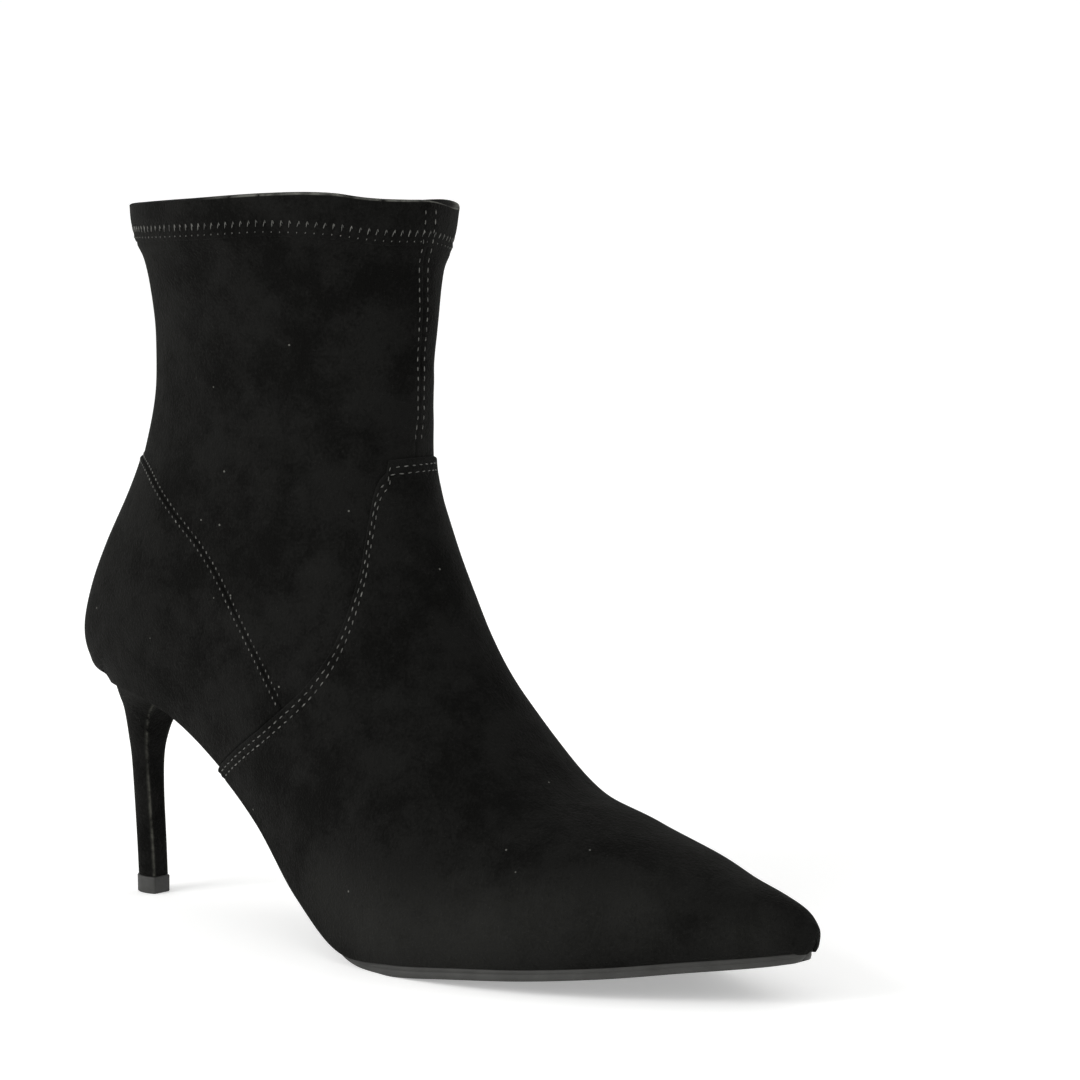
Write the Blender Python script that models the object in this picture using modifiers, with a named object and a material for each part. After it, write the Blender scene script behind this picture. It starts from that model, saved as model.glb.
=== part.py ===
# A right stiletto ankle bootie, built piece by piece in metres with +Z up.
# The origin is the middle of the heel's ground face. +X points to the toe and +Y to the wearer's left,
# which is the medial side of a right boot.

import math

import bmesh
import bpy
from mathutils import Vector

# Driving sizes in millimetres
MM = 0.001
WALL = 1.6
GAP = 0.3
VAMP_THICKNESS = 0.9
COUNTER_THICKNESS = 0.5
BAND_THICKNESS = 0.9
BAND_HEIGHT = 10.5
BAND_RISE = 1.6
COLLAR_LEAN = 0.08
COLLAR_LEAN_FROM = -30.0
SHAFT_Z = 150.0
SOLE_THICKNESS = 3.1
TOE_THICKNESS = 2.2
WAIST_THICKNESS = 1.2
WAIST_INSET = 2.6
TOE_INSET = 1.8
SOLE_GROOVE_DEPTH = 0.5
SOLE_STRIP_SHARE = 0.3
SOLE_GROOVE_STEP = 0.15
SOLE_STRIP_INSET = 0.3
SOLE_EDGE_INSET = -0.6
SOLE_BEVEL = 0.25
SOLE_START = 1.2
TOE_TO = 1.8
WAIST_FROM = 8.0
WAIST_TO = 9.2
BREAST_PLACE = 13.3
INSOLE_THICKNESS = 1.6
INSOLE_INSET = 2.9
INSOLE_START = 2.0
INSOLE_END = 14.6
HEEL_CUP_PLACE = 13.48
HEEL_CUP_INSET = 0.2
PLACE_STEP = 0.05
OUTSIDE_X = (-60.0, 260.0)
UNDERSIDE_Z = -20.0
OVERHEAD_Z = 240.0
TOP_PIECE_HEIGHT = 5.0
CUTTER_HALF_WIDTH = 80.0

# Cross-sections of the last, from the toe tip over the instep and up the shaft.
# low is the feather line under the foot, and from row SEAT_END on the middle of the back.
# top is the ridge of the vamp and then the front of the shaft. mid is the section's middle across the boot,
# out and inn its widest reach on the lateral and medial sides, tuck the share of it left at the feather line,
# belly how far up the section is widest, and square how full its upper half is (2 is an ellipse).
SECTION_COLUMNS = ("low_x", "low_z", "top_x", "top_z", "mid", "out", "inn", "tuck", "belly", "square")
SECTIONS = (
    (230.5, 20.2, 230.5, 20.2, 3.6, 0.0, 0.0, 0.86, 0.45, 2.0),
    (228.7, 15.6, 229.0, 22.2, 3.5, 3.4, 3.4, 0.86, 0.42, 2.0),
    (224.2, 14.4, 225.0, 25.1, 3.3, 7.0, 7.0, 0.86, 0.38, 2.0),
    (215.8, 13.1, 217.3, 27.8, 2.9, 12.2, 11.8, 0.88, 0.34, 2.0),
    (202.3, 11.4, 204.5, 31.4, 2.2, 20.4, 19.2, 0.91, 0.31, 2.0),
    (185.8, 9.2, 188.5, 37.4, 1.6, 30.0, 27.4, 0.94, 0.29, 2.0),
    (165.9, 7.1, 169.3, 42.2, 1.0, 38.0, 34.0, 0.955, 0.27, 2.0),
    (144.9, 5.3, 149.8, 47.5, 0.4, 42.0, 36.6, 0.96, 0.26, 1.95),
    (124.0, 3.3, 134.9, 65.1, 0.0, 42.6, 35.6, 0.955, 0.26, 1.9),
    (104.5, 3.5, 123.4, 77.3, 0.0, 40.0, 33.0, 0.945, 0.28, 1.9),
    (85.3, 15.4, 115.6, 91.9, 0.0, 36.0, 31.0, 0.9, 0.31, 1.9),
    (66.3, 32.9, 109.0, 104.6, 0.0, 33.2, 30.0, 0.83, 0.35, 1.9),
    (47.2, 46.6, 103.5, 118.1, 0.0, 31.8, 29.6, 0.76, 0.38, 1.9),
    (29.2, 57.3, 99.2, 129.6, 0.0, 31.0, 29.4, 0.745, 0.4, 1.95),
    (10.6, 62.7, 98.4, 139.2, 0.0, 30.4, 29.4, 0.7, 0.42, 2.0),
    (-12.2, 62.9, 99.2, 146.1, 0.0, 29.8, 29.0, 0.0, 0.43, 2.0),
    (-18.1, 67.0, 99.3, 150.3, 0.0, 29.2, 28.6, 0.0, 0.44, 2.0),
    (-20.4, 74.4, 99.5, 153.9, 0.0, 28.6, 28.2, 0.0, 0.45, 2.0),
    (-18.1, 85.9, 99.7, 157.5, 0.0, 27.8, 27.6, 0.0, 0.46, 2.0),
    (-12.7, 98.8, 99.6, 161.0, 0.0, 27.0, 27.0, 0.0, 0.47, 2.0),
    (-3.9, 115.7, 99.8, 165.0, 0.0, 26.0, 26.0, 0.0, 0.48, 2.0),
    (2.0, 130.7, 100.1, 169.5, 0.0, 25.6, 25.6, 0.0, 0.49, 2.0),
    (5.7, 146.5, 100.3, 174.9, 0.0, 26.0, 26.0, 0.0, 0.5, 2.0),
    (6.3, 162.4, 100.1, 181.8, 0.0, 28.6, 28.6, 0.0, 0.5, 2.0),
    (6.1, 178.3, 100.1, 190.3, 0.0, 32.8, 32.8, 0.0, 0.5, 2.0),
    (3.0, 194.2, 101.1, 200.3, 0.0, 37.2, 37.2, 0.0, 0.5, 2.0),
    (1.8, 210.1, 101.9, 212.3, 0.0, 40.0, 40.0, 0.0, 0.5, 2.0),
)
SEAT_END = 15
RINGS_PER_SECTION = 2
UNDER_STEPS = 5
OVER_STEPS = 9

# Edges of the panels in side view, in millimetres
COLLAR_EDGE = ((-44.5, 201.2), (2.5, 203.0), (43.4, 204.2), (71.4, 206.4), (87.4, 206.9), (101.4, 204.8),
               (145.4, 203.8))
VAMP_EDGE = ((137.0, 135.0), (98.5, 134.5), (95.7, 131.2), (94.0, 125.6), (94.5, 114.2), (95.2, 101.7),
             (93.2, 85.8), (85.9, 73.0), (72.6, 61.6), (59.0, 52.6), (46.0, 44.0), (37.2, 34.8))
COUNTER_EDGE = ((-42.9, 127.6), (-2.9, 127.6), (11.2, 126.3), (22.3, 121.5), (35.5, 112.3), (48.7, 101.1),
                (60.1, 86.4), (70.4, 73.1), (78.6, 62.8), (84.8, 54.9))

# Level sections of the heel, from its ground end to its cup: height, breast, back, and half width
HEEL_COLUMNS = ("z", "front", "back", "half")
HEEL_SECTIONS = (
    (TOP_PIECE_HEIGHT + GAP, 3.6, -4.3, 3.7),
    (15.0, 2.9, -5.0, 3.8),
    (30.0, 1.6, -6.2, 4.1),
    (40.0, 1.2, -7.0, 4.7),
    (46.0, 1.8, -7.7, 5.8),
    (51.0, 3.2, -8.1, 7.3),
    (55.0, 6.0, -8.5, 10.2),
    (58.5, 11.0, -9.2, 14.6),
)
HEEL_ARC_STEPS = 9
BREAST_ANGLE = 38.0


def clear_scene():
    for thing in list(bpy.data.objects):
        bpy.data.objects.remove(thing, do_unlink=True)


def new_collection(name):
    collection = bpy.data.collections.new(name)
    bpy.context.scene.collection.children.link(collection)
    return collection


def make_material(name, colour, roughness, metallic=0.0):
    material = bpy.data.materials.new(name)
    material.use_nodes = True
    shader = material.node_tree.nodes["Principled BSDF"]
    shader.inputs["Base Color"].default_value = (*colour, 1.0)
    shader.inputs["Roughness"].default_value = roughness
    shader.inputs["Metallic"].default_value = metallic
    return material


def add_object(name, mesh, collection, material=None):
    thing = bpy.data.objects.new(name, mesh)
    collection.objects.link(thing)
    if material:
        mesh.materials.append(material)
        mesh.shade_smooth()
        mesh.set_sharp_from_angle(angle=math.radians(40))
    return thing


def smooth_between(before, start, end, after, share):
    # Catmull-Rom through start and end
    slope_start = (end - before) / 2
    slope_end = (after - start) / 2
    a = 2 * start - 2 * end + slope_start + slope_end
    b = -3 * start + 3 * end - 2 * slope_start - slope_end
    return ((a * share + b) * share + slope_start) * share + start


def section_row(index):
    # Past the toe tip the sections mirror, so that the nose closes round
    if index < 0:
        row = dict(zip(SECTION_COLUMNS, SECTIONS[-index]))
        row["out"] = -row["out"]
        row["inn"] = -row["inn"]
        row["low_z"], row["top_z"] = row["top_z"], row["low_z"]
        return row
    last = len(SECTIONS) - 1
    if index > last:
        end = dict(zip(SECTION_COLUMNS, SECTIONS[last]))
        before = dict(zip(SECTION_COLUMNS, SECTIONS[last - 1]))
        return {name: 2 * end[name] - before[name] for name in SECTION_COLUMNS}
    return dict(zip(SECTION_COLUMNS, SECTIONS[index]))


def section_at(t):
    index = min(int(t), len(SECTIONS) - 2)
    share = t - index
    rows = [section_row(index + step) for step in (-1, 0, 1, 2)]
    section = {name: smooth_between(*(row[name] for row in rows), share) for name in SECTION_COLUMNS}
    # The tuck is blended as a square, which rounds the seat end
    squares = smooth_between(*(row["tuck"] ** 2 for row in rows), share)
    section["tuck"] = math.sqrt(max(squares, 0.0)) if t < SEAT_END else 0.0
    return section


def section_loop(t):
    # One closed loop of the sock: an ellipse under its widest line, which the feather line cuts later,
    # and a fuller curve over it. It starts in the middle underneath and goes round by the lateral side.
    section = section_at(t)
    low = Vector((section["low_x"], 0.0, section["low_z"]))
    rise = Vector((section["top_x"], 0.0, section["top_z"])) - low
    belly = low + rise * section["belly"]
    under = rise * section["belly"] / math.sqrt(1.0 - section["tuck"] ** 2)
    over = rise * (1.0 - section["belly"])
    power = 2.0 / section["square"]
    half = []
    for step in range(UNDER_STEPS):
        angle = math.radians(90.0) * (1.0 - step / UNDER_STEPS)
        half.append((math.cos(angle), belly - under * math.sin(angle)))
    for step in range(OVER_STEPS + 1):
        angle = math.radians(90.0) * step / OVER_STEPS
        half.append((max(math.cos(angle), 0.0) ** power, belly + over * math.sin(angle) ** power))
    half[0] = (0.0, half[0][1])
    half[-1] = (0.0, half[-1][1])
    across = Vector((0.0, 1.0, 0.0))
    middle = across * section["mid"]
    lateral = [point + middle - across * section["out"] * reach for reach, point in half]
    medial = [point + middle + across * section["inn"] * reach for reach, point in half[-2:0:-1]]
    return [point * MM for point in lateral + medial]


def sock_mesh(name, outward=0.0):
    # The whole outer surface of the last with its shaft, moved out by a distance along its normals
    mesh = bpy.data.meshes.new(name)
    shape = bmesh.new()
    last = (len(SECTIONS) - 1) * RINGS_PER_SECTION
    loops = [section_loop(step / RINGS_PER_SECTION) for step in range(1, last + 1)]
    tip = section_at(0.0)
    tip_vertex = shape.verts.new(Vector((tip["low_x"], tip["mid"], tip["low_z"])) * MM)
    rings = [[shape.verts.new(point) for point in loop] for loop in loops]
    count = len(rings[0])
    for side in range(count):
        shape.faces.new((tip_vertex, rings[0][(side + 1) % count], rings[0][side]))
    for inner, outer in zip(rings, rings[1:]):
        for side in range(count):
            beside = (side + 1) % count
            shape.faces.new((inner[side], inner[beside], outer[beside], outer[side]))
    bmesh.ops.recalc_face_normals(shape, faces=shape.faces)
    shape.normal_update()
    moves = [(vertex, vertex.normal * outward * MM) for vertex in shape.verts]
    for vertex, move in moves:
        vertex.co += move
    shape.to_mesh(mesh)
    shape.free()
    return mesh


def side_cutter(name, outline, cutters):
    # A block with the given outline in side view, reaching past both sides of the boot
    curve = bpy.data.curves.new(name, "CURVE")
    curve.dimensions = "2D"
    curve.fill_mode = "BOTH"
    curve.extrude = CUTTER_HALF_WIDTH * MM
    spline = curve.splines.new("POLY")
    spline.points.add(len(outline) - 1)
    for point, (x, z) in zip(spline.points, outline):
        point.co = (x * MM, z * MM, 0.0, 1.0)
    spline.use_cyclic_u = True
    drawn = bpy.data.objects.new(name, curve)
    cutters.objects.link(drawn)
    drawn.rotation_euler = (math.radians(90.0), 0.0, 0.0)
    bpy.context.view_layer.update()
    mesh = bpy.data.meshes.new_from_object(drawn.evaluated_get(bpy.context.evaluated_depsgraph_get()))
    mesh.transform(drawn.matrix_world)
    bpy.data.objects.remove(drawn, do_unlink=True)
    shape = bmesh.new()
    shape.from_mesh(mesh)
    bmesh.ops.remove_doubles(shape, verts=shape.verts, dist=0.00001)
    bmesh.ops.recalc_face_normals(shape, faces=shape.faces)
    shape.to_mesh(mesh)
    shape.free()
    cutter = add_object(name, mesh, cutters)
    cutter.hide_render = True
    cutter.display_type = "WIRE"
    return cutter


def cut_shell(name, inner, outer, cuts, collection, material):
    # A shell between two distances from the last, cut by blocks drawn in side view
    piece = add_object(name, sock_mesh(name, inner), collection, material)
    wall = piece.modifiers.new("wall", "SOLIDIFY")
    wall.thickness = (outer - inner) * MM
    wall.offset = 1.0
    wall.use_quality_normals = True
    for operation, cutter in cuts:
        cut = piece.modifiers.new(cutter.name, "BOOLEAN")
        cut.operation = operation
        cut.solver = "EXACT"
        cut.object = cutter
    return piece


def feather_points(start, end, steps):
    # The side view of the feather line between two places along the sections
    places = [start + (end - start) * step / steps for step in range(steps + 1)]
    rows = [section_at(place) for place in places]
    return [(row["low_x"], row["low_z"]) for row in rows]


def smooth_line(points, steps):
    # A Catmull-Rom line through the points of a panel's edge
    padded = [points[0], *points, points[-1]]
    line = []
    for index in range(len(points) - 1):
        group = padded[index:index + 4]
        for step in range(steps):
            share = step / steps
            line.append(tuple(smooth_between(*(point[axis] for point in group), share) for axis in (0, 1)))
    return line + [points[-1]]


def body_outline():
    # Above the feather line and below the collar, carried on level past the toe and behind the seat
    feather = feather_points(1.0, SEAT_END, 2 * (SEAT_END - 1))
    lower = [(OUTSIDE_X[1], feather[0][1]), *feather, (OUTSIDE_X[0], feather[-1][1])]
    return lower + smooth_line(COLLAR_EDGE, 4)


def vamp_outline(edge_gap):
    edge = [(x - edge_gap, z + edge_gap) for x, z in smooth_line(VAMP_EDGE, 4)]
    return edge + [(edge[-1][0], UNDERSIDE_Z), (OUTSIDE_X[1], UNDERSIDE_Z), (OUTSIDE_X[1], edge[0][1])]


def counter_outline():
    edge = smooth_line(COUNTER_EDGE, 4)
    return edge + [(edge[-1][0], UNDERSIDE_Z), (OUTSIDE_X[0], UNDERSIDE_Z)]


def band_outline():
    # The band is deepest at the front
    collar = smooth_line(COLLAR_EDGE, 4)
    span = collar[-1][0] - collar[0][0]
    lower = [(x, z - BAND_HEIGHT - BAND_RISE * (x - collar[0][0]) / span) for x, z in collar]
    return lower + [(lower[-1][0], OVERHEAD_Z), (lower[0][0], OVERHEAD_Z)]


def lean(cutter):
    # The collar stands lower towards the medial side
    for vertex in cutter.data.vertices:
        if vertex.co.z > SHAFT_Z * MM:
            vertex.co.z -= COLLAR_LEAN * (vertex.co.y - COLLAR_LEAN_FROM * MM)
    return cutter


def loft(name, rings, collection, material):
    # A closed solid through rings of equal count. Each ring runs from the middle of one end face round one
    # side to the other, so that the first and last rings are closed by faces straight across.
    mesh = bpy.data.meshes.new(name)
    shape = bmesh.new()
    rows = [[shape.verts.new(Vector(point) * MM) for point in ring] for ring in rings]
    count = len(rows[0])
    for low, high in zip(rows, rows[1:]):
        for side in range(count):
            beside = (side + 1) % count
            shape.faces.new((low[side], low[beside], high[beside], high[side]))
    for row in (rows[0], rows[-1]):
        for side in range(count // 2 - 1):
            shape.faces.new((row[side], row[side + 1], row[count - 2 - side], row[count - 1 - side]))
    bmesh.ops.recalc_face_normals(shape, faces=shape.faces)
    shape.to_mesh(mesh)
    shape.free()
    return add_object(name, mesh, collection, material)


def below_feather(place, depth):
    # A point square to the feather line in side view, under it by the given depth
    before = section_at(place - PLACE_STEP)
    after = section_at(place + PLACE_STEP)
    row = section_at(place)
    run = Vector((after["low_x"] - before["low_x"], after["low_z"] - before["low_z"])).normalized()
    return row["low_x"] - run.y * depth, row["low_z"] + run.x * depth


def edge_ring(place, profile, lowest=None):
    # Across the foot at one place: the profile's (inset, depth) points down the lateral edge and back up
    row = section_at(place)
    lateral = []
    medial = []
    for inset, depth in profile:
        x, z = below_feather(place, depth)
        if lowest is not None:
            z = max(z, lowest)
        lateral.append((x, row["mid"] - row["out"] * row["tuck"] + inset, z))
        medial.append((x, row["mid"] + row["inn"] * row["tuck"] - inset, z))
    return lateral + medial[::-1]


def sole_profile(place):
    # The edge has a narrow strip at its top, a groove, the main edge and a small bevel at the ground.
    # It thins towards the toe, and at the waist it is a thin layer set in from the upper's edge.
    toe = min(max((TOE_TO - place) / (TOE_TO - SOLE_START), 0.0), 1.0)
    thin = min(max((WAIST_FROM - place) / (WAIST_FROM - SOLE_START), 0.0), 1.0)
    waist = min(max((place - WAIST_FROM) / (WAIST_TO - WAIST_FROM), 0.0), 1.0)
    thick = SOLE_THICKNESS + (TOE_THICKNESS - SOLE_THICKNESS) * thin
    thick += (WAIST_THICKNESS - SOLE_THICKNESS) * waist
    inset = SOLE_EDGE_INSET + TOE_INSET * toe ** 2 + WAIST_INSET * waist
    low = GAP + thick
    strip = GAP + thick * SOLE_STRIP_SHARE
    groove = inset + SOLE_STRIP_INSET + SOLE_GROOVE_DEPTH * (1.0 - waist)
    return ((inset + SOLE_STRIP_INSET, GAP), (inset + SOLE_STRIP_INSET, strip),
            (groove, strip + SOLE_GROOVE_STEP), (groove, strip + 2 * SOLE_GROOVE_STEP),
            (inset, strip + 3 * SOLE_GROOVE_STEP), (inset, low - SOLE_BEVEL), (inset + SOLE_BEVEL, low))


def spread(start, end, steps, crowding):
    # Places between two ends, closer together near the start for a crowding over 1
    return [start + (end - start) * (step / steps) ** crowding for step in range(steps + 1)]


def ring_places(start, end):
    # The places of the last's own rings between two ends, so that the joints between pieces stay even
    steps = range(int(start * RINGS_PER_SECTION) + 1, math.ceil(end * RINGS_PER_SECTION))
    return [start, *(step / RINGS_PER_SECTION for step in steps), end]


def make_outsole(collection, material):
    rings = [edge_ring(place, sole_profile(place), 0.0) for place in ring_places(SOLE_START, BREAST_PLACE)]
    return loft("outsole", rings, collection, material)


def make_insole(collection, material):
    profile = ((INSOLE_INSET, -INSOLE_THICKNESS), (INSOLE_INSET, 0.0))
    rings = [edge_ring(place, profile) for place in ring_places(INSOLE_START, INSOLE_END)]
    return loft("insole", rings, collection, material)


def heel_ring(front, back, half, z):
    # A level section: a flat breast across the front, narrower than the round sides and back
    breast = math.radians(BREAST_ANGLE)
    middle = (front + back * math.sin(breast)) / (1.0 + math.sin(breast))
    lateral = []
    for step in range(HEEL_ARC_STEPS):
        angle = -breast + (math.radians(90.0) + breast) * step / (HEEL_ARC_STEPS - 0.5)
        lateral.append((middle - (middle - back) * math.sin(angle), -half * math.cos(angle), z))
    return lateral + [(x, -y, height) for x, y, height in lateral[::-1]]


def make_heel(collection, material):
    rings = []
    for values in HEEL_SECTIONS:
        size = dict(zip(HEEL_COLUMNS, values))
        rings.append(heel_ring(size["front"], size["back"], size["half"], size["z"]))
    # The cup's rim lies along the feather line of the seat
    places = spread(SEAT_END - 0.015, HEEL_CUP_PLACE, HEEL_ARC_STEPS - 1, 1.7)[::-1]
    rim = [edge_ring(place, ((HEEL_CUP_INSET, GAP),)) for place in places]
    rings.append([ring[0] for ring in rim] + [ring[1] for ring in rim[::-1]])
    return loft("heel", rings, collection, material)


def make_top_piece(collection, material):
    rings = [heel_ring(4.1, -4.6, 3.9, 0.0), heel_ring(4.0, -4.8, 3.95, TOP_PIECE_HEIGHT)]
    return loft("top_piece", rings, collection, material)


def main():
    clear_scene()
    boot = new_collection("stiletto_ankle_bootie")
    cutters = new_collection("cutters")
    suede = make_material("suede", (0.012, 0.012, 0.011), 0.92)
    lining = make_material("lining", (0.016, 0.015, 0.015), 0.85)
    rubber = make_material("rubber", (0.03, 0.03, 0.028), 0.62)

    body = lean(side_cutter("body_side_view", body_outline(), cutters))
    vamp_side = side_cutter("vamp_side_view", vamp_outline(0.0), cutters)
    vamp_room = side_cutter("vamp_room_side_view", vamp_outline(GAP), cutters)
    counter_side = side_cutter("counter_side_view", counter_outline(), cutters)
    band_side = lean(side_cutter("band_side_view", band_outline(), cutters))

    cut_shell("upper", -WALL, 0.0, [("INTERSECT", body)], boot, suede)
    cut_shell("vamp", GAP, GAP + VAMP_THICKNESS, [("INTERSECT", vamp_side), ("INTERSECT", body)], boot, suede)
    cut_shell("counter", GAP, GAP + COUNTER_THICKNESS,
              [("INTERSECT", counter_side), ("DIFFERENCE", vamp_room), ("INTERSECT", body)], boot, suede)
    cut_shell("collar_band", GAP, GAP + BAND_THICKNESS,
              [("INTERSECT", band_side), ("INTERSECT", body)], boot, suede)
    make_insole(boot, lining)
    make_outsole(boot, rubber)
    make_heel(boot, suede)
    make_top_piece(boot, rubber)


main()
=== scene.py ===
import math
import random

import bmesh
import bpy
import numpy as np
from mathutils import Matrix, Vector


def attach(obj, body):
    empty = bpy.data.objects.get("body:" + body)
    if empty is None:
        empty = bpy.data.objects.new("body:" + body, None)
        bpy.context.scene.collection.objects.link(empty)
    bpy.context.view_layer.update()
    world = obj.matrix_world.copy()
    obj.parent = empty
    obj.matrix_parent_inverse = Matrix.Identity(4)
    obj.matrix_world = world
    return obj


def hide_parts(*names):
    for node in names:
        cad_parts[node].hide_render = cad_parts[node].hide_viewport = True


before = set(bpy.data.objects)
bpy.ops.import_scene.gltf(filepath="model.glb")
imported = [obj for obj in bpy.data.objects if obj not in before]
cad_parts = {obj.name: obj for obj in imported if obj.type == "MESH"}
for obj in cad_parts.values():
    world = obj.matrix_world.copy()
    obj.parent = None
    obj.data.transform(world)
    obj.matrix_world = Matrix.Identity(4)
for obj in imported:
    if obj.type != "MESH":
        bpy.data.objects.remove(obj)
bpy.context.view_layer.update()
mm = 0.001
random.seed(11)
print("frame loaded")


# The last: the sections that every part of the upper and the sole follows

last = {
    "columns": ("lowX", "lowZ", "topX", "topZ", "mid", "out", "inn", "tuck", "belly", "square"),
    "rows": (
        (230.5, 20.2, 230.5, 20.2, 3.6, 0.0, 0.0, 0.86, 0.45, 2.0),
        (228.7, 15.6, 229.0, 22.2, 3.5, 3.4, 3.4, 0.86, 0.42, 2.0),
        (224.2, 14.4, 225.0, 25.1, 3.3, 7.0, 7.0, 0.86, 0.38, 2.0),
        (215.8, 13.1, 217.3, 27.8, 2.9, 12.2, 11.8, 0.88, 0.34, 2.0),
        (202.3, 11.4, 204.5, 31.4, 2.2, 20.4, 19.2, 0.91, 0.31, 2.0),
        (185.8, 9.2, 188.5, 37.4, 1.6, 30.0, 27.4, 0.94, 0.29, 2.0),
        (165.9, 7.1, 169.3, 42.2, 1.0, 38.0, 34.0, 0.955, 0.27, 2.0),
        (144.9, 5.3, 149.8, 47.5, 0.4, 42.0, 36.6, 0.96, 0.26, 1.95),
        (124.0, 3.3, 134.9, 65.1, 0.0, 42.6, 35.6, 0.955, 0.26, 1.9),
        (104.5, 3.5, 123.4, 77.3, 0.0, 40.0, 33.0, 0.945, 0.28, 1.9),
        (85.3, 15.4, 115.6, 91.9, 0.0, 36.0, 31.0, 0.9, 0.31, 1.9),
        (66.3, 32.9, 109.0, 104.6, 0.0, 33.2, 30.0, 0.83, 0.35, 1.9),
        (47.2, 46.6, 103.5, 118.1, 0.0, 31.8, 29.6, 0.76, 0.38, 1.9),
        (29.2, 57.3, 99.2, 129.6, 0.0, 31.0, 29.4, 0.745, 0.4, 1.95),
        (10.6, 62.7, 98.4, 139.2, 0.0, 30.4, 29.4, 0.7, 0.42, 2.0),
        (-12.2, 62.9, 99.2, 146.1, 0.0, 29.8, 29.0, 0.0, 0.43, 2.0),
        (-18.1, 67.0, 99.3, 150.3, 0.0, 29.2, 28.6, 0.0, 0.44, 2.0),
        (-20.4, 74.4, 99.5, 153.9, 0.0, 28.6, 28.2, 0.0, 0.45, 2.0),
        (-18.1, 85.9, 99.7, 157.5, 0.0, 27.8, 27.6, 0.0, 0.46, 2.0),
        (-12.7, 98.8, 99.6, 161.0, 0.0, 27.0, 27.0, 0.0, 0.47, 2.0),
        (-3.9, 115.7, 99.8, 165.0, 0.0, 26.0, 26.0, 0.0, 0.48, 2.0),
        (2.0, 130.7, 100.1, 169.5, 0.0, 25.6, 25.6, 0.0, 0.49, 2.0),
        (5.7, 146.5, 100.3, 174.9, 0.0, 26.0, 26.0, 0.0, 0.5, 2.0),
        (6.3, 162.4, 100.1, 181.8, 0.0, 28.6, 28.6, 0.0, 0.5, 2.0),
        (6.1, 178.3, 100.1, 190.3, 0.0, 32.8, 32.8, 0.0, 0.5, 2.0),
        (3.0, 194.2, 101.1, 200.3, 0.0, 37.2, 37.2, 0.0, 0.5, 2.0),
        (1.8, 210.1, 101.9, 212.3, 0.0, 40.0, 40.0, 0.0, 0.5, 2.0),
    ),
    "seatEnd": 15.0,
    "shaftSpan": (12.0, 26.0),
    "bellyShare": 0.3,      # share of the way from the feather line to the ridge at the widest line
    "noseEnd": 1.3,         # up to here the toe tip closes underneath
    "collarEdge": ((-44.5, 198.8), (2.5, 200.7), (43.4, 203.8), (71.4, 206.4), (87.4, 207.0),
                   (101.4, 205.2), (145.4, 204.0)),
    "medialDrop": 3.2,      # the collar stands lower on its medial side
    "vampEdge": ((137.0, 135.0), (98.5, 134.5), (95.7, 131.2), (94.0, 125.6), (94.5, 114.2), (95.2, 101.7),
                 (93.2, 85.8), (85.9, 73.0), (72.6, 61.6), (59.0, 52.6), (46.0, 44.0), (37.2, 34.8)),
    "counterEdge": ((-42.9, 127.6), (-2.9, 127.6), (11.2, 126.3), (22.3, 121.5), (35.5, 112.3),
                    (48.7, 101.1), (60.1, 86.4), (70.4, 73.1), (78.6, 62.8), (84.8, 54.9)),
    "counterShift": 1.6,    # the seam lies this far up the shaft from that line
    # Small moves of the ridge, to the photo's instep line: place along the rows, x, z
    "ridgeTrim": ((3.5, 0.0, 0.0), (4.5, -0.1, -0.3), (5.0, -0.3, -1.0), (5.5, -0.2, -0.9),
                  (6.0, -0.1, -0.37), (6.5, 0.19, 1.01), (7.0, 0.92, 1.38), (7.5, -0.41, -0.3),
                  (8.0, -1.13, -1.0), (8.5, 0.03, 0.03), (9.0, 0.52, 0.37), (9.5, -0.39, -0.19),
                  (10.0, -1.01, -0.53), (10.5, -0.54, -0.29), (11.0, -0.4, -0.19),
                  (11.5, -0.65, -0.26), (12.0, -0.65, -0.25), (13.0, -0.56, -0.14),
                  (14.5, 0.0, 0.0)),
    "trimBlur": 0.22, "trimStep": 0.05,
}
column = {name: index for index, name in enumerate(last["columns"])}


def paddedRows():
    # A phantom row before the toe tip mirrors the first one, and one past the collar carries on straight
    rows = np.array(last["rows"], float)
    before = rows[1].copy()
    before[[column["out"], column["inn"]]] *= -1
    before[[column["lowZ"], column["topZ"]]] = rows[1][[column["topZ"], column["lowZ"]]]
    return np.vstack([before, rows, 2 * rows[-1] - rows[-2]])


def trimTable():
    # The ridge moves, smoothed along the rows
    step = last["trimStep"]
    places = np.arange(0, len(last["rows"]), step)
    rows = np.array(last["ridgeTrim"])
    kernel = np.exp(-(np.arange(-20, 21) * step / last["trimBlur"]) ** 2 / 2)
    kernel /= kernel.sum()
    moves = [np.convolve(np.interp(places, rows[:, 0], rows[:, axis], left=0, right=0), kernel, "same")
             for axis in (1, 2)]
    return places, moves


lastRows = paddedRows()
trimPlaces, trimMoves = trimTable()


def between(before, start, end, after, share):
    slopeStart = (end - before) / 2
    slopeEnd = (after - start) / 2
    a = 2 * start - 2 * end + slopeStart + slopeEnd
    b = -3 * start + 3 * end - 2 * slopeStart - slopeEnd
    return ((a * share + b) * share + slopeStart) * share + start


def sectionAt(t):
    t = np.atleast_1d(np.asarray(t, float))
    index = np.clip(t.astype(int), 0, len(last["rows"]) - 2)
    share = (t - index)[:, None]
    group = [lastRows[index + step] for step in range(4)]
    values = between(*group, share)
    for name, moves in zip(("topX", "topZ"), trimMoves):
        values[:, column[name]] += np.interp(t, trimPlaces, moves)
    squares = between(*(rows[:, column["tuck"]] ** 2 for rows in group), share[:, 0])
    tuck = np.where(t < last["seatEnd"], np.sqrt(np.clip(squares, 0.0, 0.98)), 0.0)
    return values, tuck


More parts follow.
